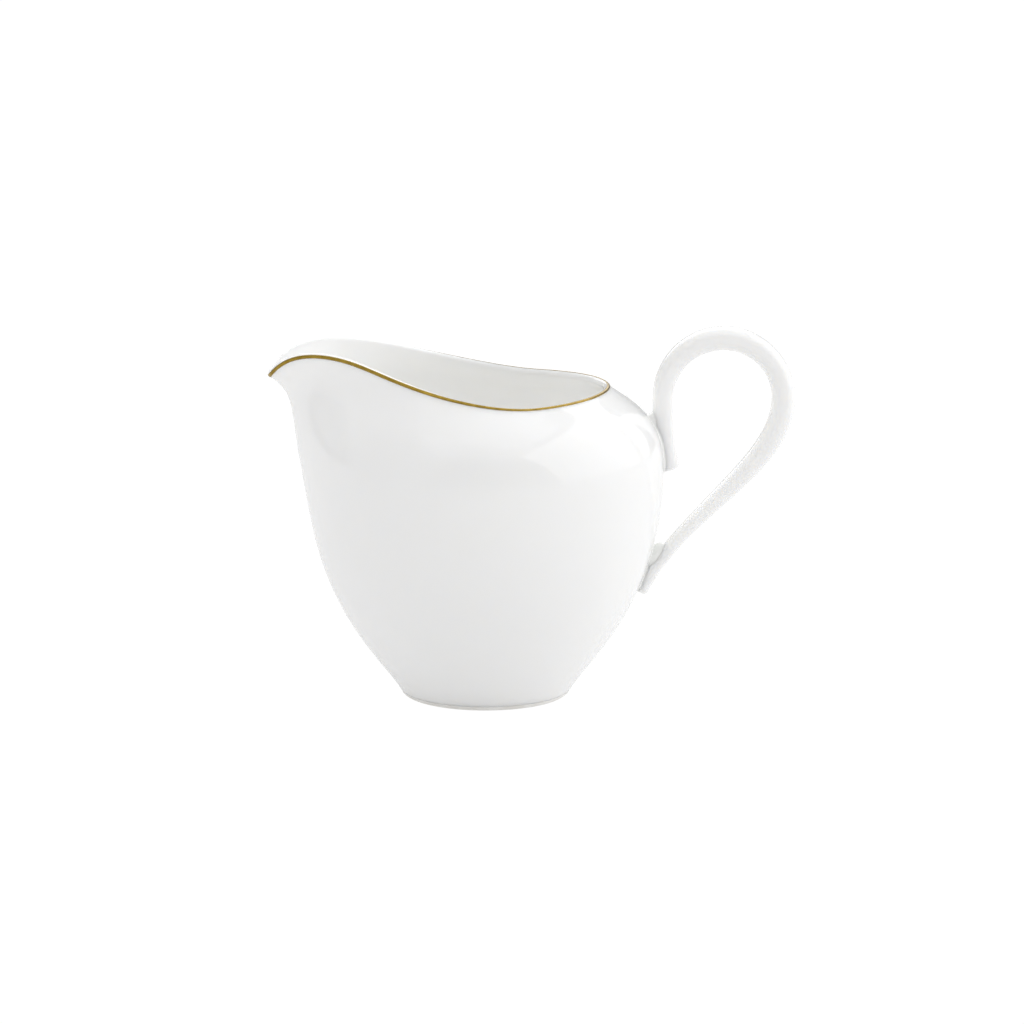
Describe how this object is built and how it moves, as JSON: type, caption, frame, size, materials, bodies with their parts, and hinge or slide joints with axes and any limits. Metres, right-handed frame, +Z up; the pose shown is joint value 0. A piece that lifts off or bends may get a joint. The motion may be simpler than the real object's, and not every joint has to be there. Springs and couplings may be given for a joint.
{
  "type": "cream jug",
  "caption": "White glazed porcelain cream jug with a pulled spout, a waved rim with a thin gold line, a loop handle and a low ground foot.",
  "frame": {"origin": "under the middle of the overall length from spout tip to handle, on the plane the foot stands on", "axes": "+X towards the handle, -X towards the spout, +Z up, y = 0 the mirror plane"},
  "size_m": [0.1232, 0.084, 0.0874],
  "materials": {
    "body_glaze": "white porcelain under a clear gloss glaze",
    "handle_glaze": "white porcelain under a clear gloss glaze",
    "slip_glaze": "porcelain slip under a clear gloss glaze",
    "foot_biscuit": "unglazed, ground smooth",
    "rim_gilding": "fired and burnished gold line"
  },
  "bodies": {
    "root": {"jug_body": "body_glaze", "foot_ring": "foot_biscuit", "handle": "handle_glaze", "upper_handle_slip": "slip_glaze", "lower_handle_slip": "slip_glaze", "gold_rim_line": "rim_gilding"}
  },
  "joints": []
}
